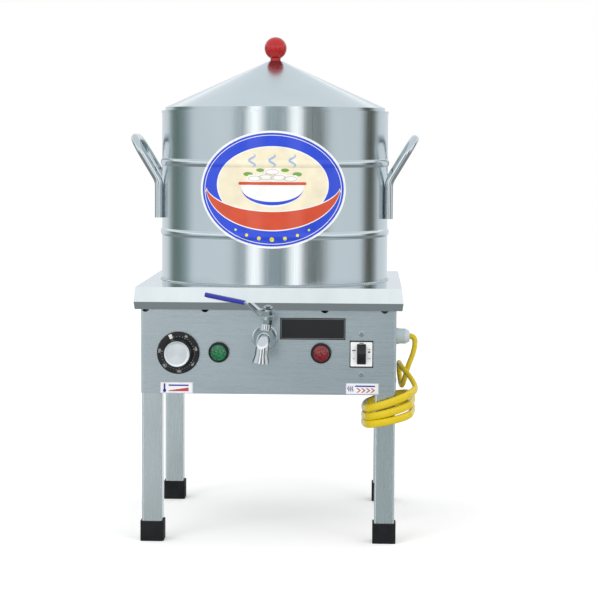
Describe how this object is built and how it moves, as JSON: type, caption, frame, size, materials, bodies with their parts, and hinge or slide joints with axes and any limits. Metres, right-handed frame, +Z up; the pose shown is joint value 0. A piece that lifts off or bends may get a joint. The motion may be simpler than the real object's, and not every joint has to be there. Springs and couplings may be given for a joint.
{
  "type": "rice noodle roll steamer",
  "caption": "Electric steamer with a round lidded pot on a square drip tray, over a control box on tube legs, with a drain tap and a wound lead.",
  "frame": {"origin": "on the floor, at the middle of the whole object's width and depth, the lead left out", "axes": "+Z up, +X to the right of someone facing the controls, which look towards -Y"},
  "size_m": [0.45, 0.4542, 0.7614],
  "materials": {
    "steel": "brushed stainless sheet",
    "pot_steel": "fine-brushed stainless sheet",
    "mirror_steel": "polished stainless",
    "leg_steel": "satin stainless tube",
    "zinc": "zinc-plated steel",
    "chrome": "bright chrome plate",
    "brass": "turned brass",
    "heater": "dull heater sheath",
    "rubber": "black rubber",
    "black_plastic": "black moulded plastic",
    "grey_plastic": "pale grey nylon",
    "red_plastic": "glossy red phenolic",
    "green_lens": "clear green moulding",
    "red_lens": "clear red moulding",
    "blue_vinyl": "dipped blue vinyl",
    "yellow_pvc": "yellow cable jacket",
    "label": "white label film",
    "plate": "black anodised plate",
    "badge": "printed vinyl",
    "cloth": "stretched cotton",
    "ceramic": "fired ceramic",
    "seat": "white seat ring"
  },
  "bodies": {
    "root": {"leg_front_left": "leg_steel", "leg_front_right": "leg_steel", "leg_back_left": "leg_steel", "leg_back_right": "leg_steel", "feet": "rubber", "tray": "mirror_steel", "casing": "steel", "back_panel": "steel", "bottom_cover": "steel", "panel_screws": "zinc", "pot_wall": "pot_steel", "pot_bottom": "pot_steel", "handle_left": "mirror_steel", "handle_right": "mirror_steel", "hoop_lugs": "pot_steel", "badge": "badge", "heater_boost": "heater", "heater_regulated": "heater", "floor_fittings": "brass", "fitting_nuts": "brass", "thermostat_body": "ceramic", "thermostat_bulb": "brass", "capillary": "brass", "lamp_green_housing": "black_plastic", "lamp_green_lens": "green_lens", "lamp_red_housing": "black_plastic", "lamp_red_lens": "red_lens", "lamp_nuts": "black_plastic", "breaker_body": "black_plastic", "nameplate": "plate", "labels": "label", "terminal_block": "ceramic", "drain_pipe": "leg_steel", "tap_flange": "chrome", "tap_body": "chrome", "tap_seats": "seat", "tap_gland_nut": "chrome", "tap_spout": "chrome", "cable_gland": "grey_plastic", "gland_locknut": "grey_plastic", "cord_drop": "yellow_pvc", "cord_coil": "yellow_pvc", "cord_tail": "yellow_pvc", "plug_body": "black_plastic", "plug_pins": "brass"},
    "hoop": {"hoop_inner": "steel", "hoop_cloth": "cloth", "hoop_outer": "steel"},
    "lid": {"lid": "pot_steel", "lid_knob": "red_plastic", "lid_screw": "zinc"},
    "dial": {"dial_knob": "black_plastic", "dial_cap": "mirror_steel", "thermostat_shaft": "zinc"},
    "toggle": {"breaker_toggle": "black_plastic"},
    "tap_lever": {"tap_ball": "chrome", "tap_stem": "zinc", "tap_lever": "chrome", "lever_sleeve": "blue_vinyl", "lever_nut": "chrome"}
  },
  "joints": [
    {"name": "hoop_lift", "type": "slide", "parent": "root", "child": "hoop", "axis": [0, 0, 1], "range_m": [0, 0.12]},
    {"name": "lid_lift", "type": "slide", "parent": "hoop", "child": "lid", "axis": [0, 0, 1], "range_m": [0, 0.2]},
    {"name": "dial_turn", "type": "hinge", "parent": "root", "child": "dial", "pos_m": [-0.1343, -0.16287, 0.2848], "axis": [0, 1, 0], "range_deg": [0, 300]},
    {"name": "toggle_throw", "type": "hinge", "parent": "root", "child": "toggle", "pos_m": [0.1384, -0.15348, 0.2847], "axis": [1, 0, 0], "range_deg": [0, 24]},
    {"name": "tap_turn", "type": "hinge", "parent": "root", "child": "tap_lever", "pos_m": [-0.005, -0.18588, 0.309], "axis": [0.1045, 0, 0.9945], "range_deg": [0, 90]}
  ]
}
